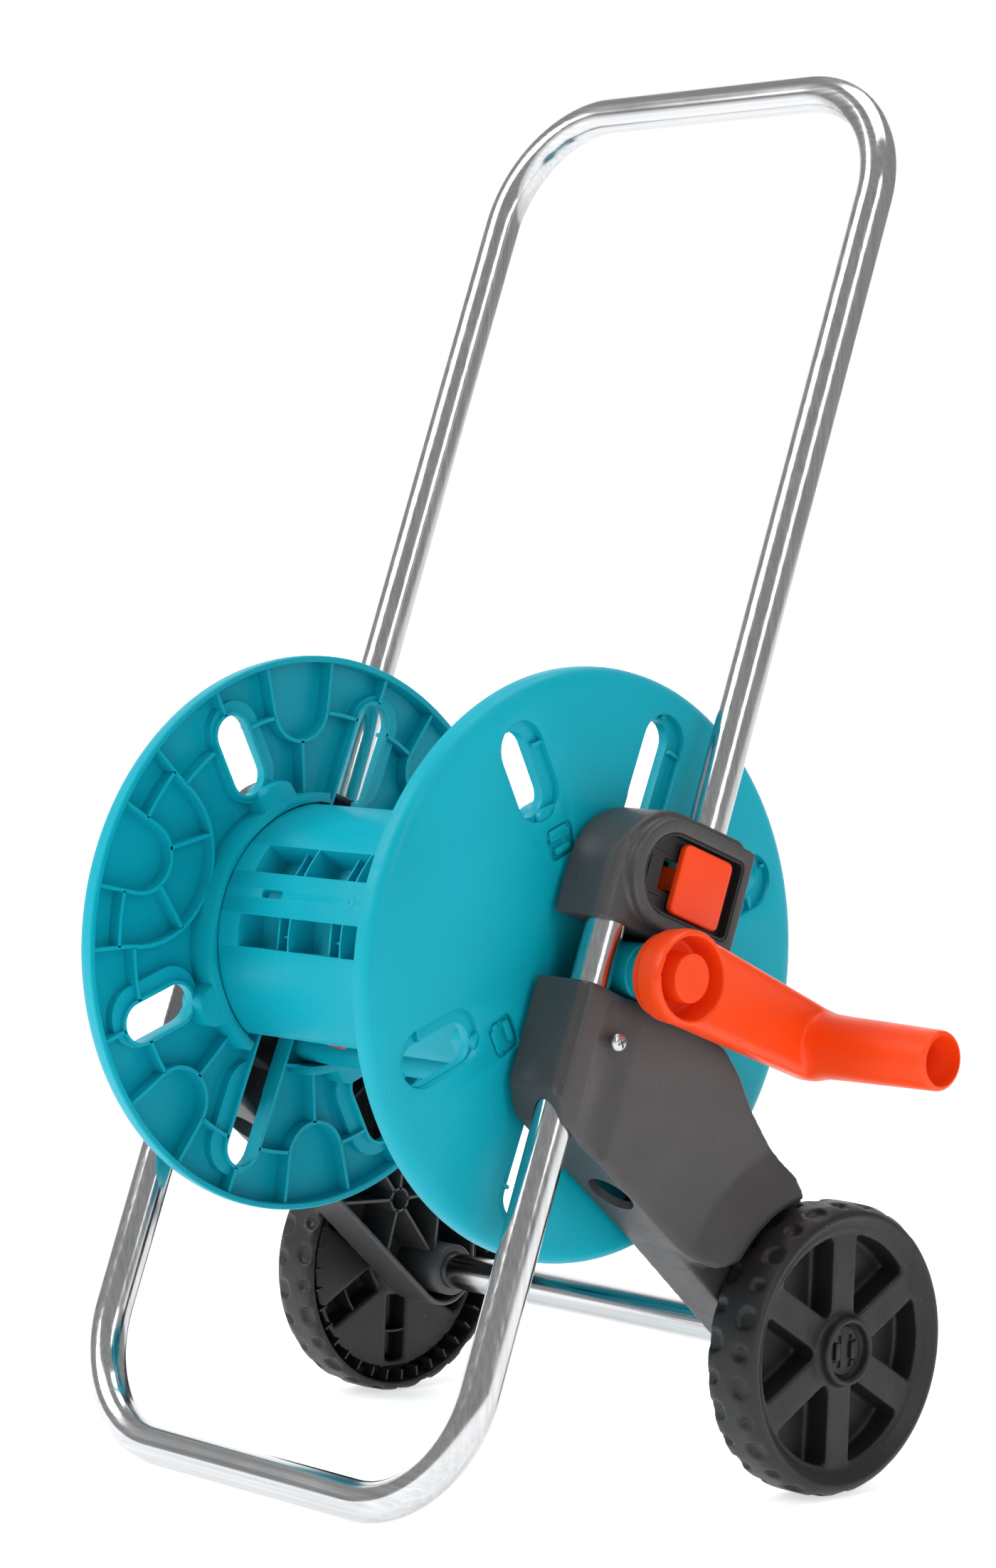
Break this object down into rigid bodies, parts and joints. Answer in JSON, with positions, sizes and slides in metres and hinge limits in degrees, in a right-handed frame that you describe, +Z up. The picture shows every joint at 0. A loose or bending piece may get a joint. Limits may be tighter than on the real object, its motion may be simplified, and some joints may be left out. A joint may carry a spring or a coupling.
{
  "type": "garden hose reel cart",
  "caption": "Two-wheeled garden hose reel cart: tubular foot loop, telescoping handle loop, crank-wound slotted drum, moulded side housings and a swivelling water inlet.",
  "frame": {"origin": "on the ground under the middle of the cart's bounding box", "axes": "+X along the drum axis towards the crank, +Y towards the wheels, +Z up"},
  "size_m": [0.4442, 0.348, 0.7328],
  "materials": {
    "tube_aluminium": "polished drawn tube",
    "teal_plastic": "satin moulded",
    "orange_plastic": "satin moulded",
    "dark_grey_plastic": "fine-grained moulded",
    "black_plastic": "satin moulded",
    "zinc_steel": "zinc plated",
    "black_rubber": "dull"
  },
  "bodies": {
    "frame": {"foot_loop_tube": "tube_aluminium", "foot_tube_plug_right": "black_plastic", "foot_tube_plug_left": "black_plastic", "axle_tube": "tube_aluminium", "upper_bracket_right": "dark_grey_plastic", "upper_bracket_left": "dark_grey_plastic", "latch_window_liner_right": "black_plastic", "latch_window_liner_left": "black_plastic", "leg_housing_right": "dark_grey_plastic", "leg_housing_left": "dark_grey_plastic", "bearing_plate_right": "black_plastic", "bearing_plate_left": "black_plastic", "housing_screw_right": "zinc_steel", "housing_screw_left": "zinc_steel", "axle_screw_right": "zinc_steel", "axle_screw_left": "zinc_steel", "bracket_screw_right": "zinc_steel", "bracket_screw_left": "zinc_steel", "wheel_stub_right": "black_plastic", "wheel_stub_left": "black_plastic", "latch_spring_right": "zinc_steel", "latch_spring_left": "zinc_steel"},
    "handle": {"handle_loop_tube": "tube_aluminium", "handle_end_plug_right": "black_plastic", "handle_end_plug_left": "black_plastic"},
    "lock_right": {"latch_button_right": "orange_plastic", "latch_shoe_right": "black_rubber"},
    "lock_left": {"latch_button_left": "orange_plastic", "latch_shoe_left": "black_rubber"},
    "road_wheel_right": {"wheel_right": "black_plastic"},
    "road_wheel_left": {"wheel_left": "black_plastic"},
    "drum": {"drum_flange_right": "teal_plastic", "drum_flange_left": "teal_plastic", "drum_core_front": "teal_plastic", "drum_core_back": "teal_plastic", "drum_hub_right": "teal_plastic", "drum_hub_left": "teal_plastic", "crank_sleeve": "teal_plastic", "crank": "orange_plastic", "inner_water_pipe": "black_plastic", "hose_connector": "orange_plastic", "inlet_seal_ring_1": "black_rubber", "inlet_seal_ring_2": "black_rubber"},
    "inlet": {"inlet_elbow": "dark_grey_plastic"}
  },
  "joints": [
    {"name": "drum_spin", "type": "hinge", "parent": "frame", "child": "drum", "pos_m": [0, -0.0257, 0.268], "axis": [1, 0, 0], "continuous": true},
    {"name": "wheel_right_spin", "type": "hinge", "parent": "frame", "child": "road_wheel_right", "pos_m": [0.13035, 0.0994, 0.0746], "axis": [1, 0, 0], "continuous": true},
    {"name": "wheel_left_spin", "type": "hinge", "parent": "frame", "child": "road_wheel_left", "pos_m": [-0.19965, 0.0994, 0.0746], "axis": [1, 0, 0], "continuous": true},
    {"name": "handle_slide", "type": "slide", "parent": "frame", "child": "handle", "axis": [0, -0.3123, -0.95], "range_m": [0, 0.215]},
    {"name": "latch_right_slide", "type": "slide", "parent": "frame", "child": "lock_right", "axis": [0, -0.95, 0.3123], "range_m": [0, 0.01], "stiffness_N_per_m": 250, "springref_m": -0.006, "deforming": ["latch_spring_right"]},
    {"name": "latch_left_slide", "type": "slide", "parent": "frame", "child": "lock_left", "axis": [0, -0.95, 0.3123], "range_m": [0, 0.01], "stiffness_N_per_m": 250, "springref_m": -0.006, "deforming": ["latch_spring_left"]},
    {"name": "inlet_swivel", "type": "hinge", "parent": "frame", "child": "inlet", "pos_m": [-0.20765, -0.0257, 0.268], "axis": [1, 0, 0], "continuous": true}
  ]
}
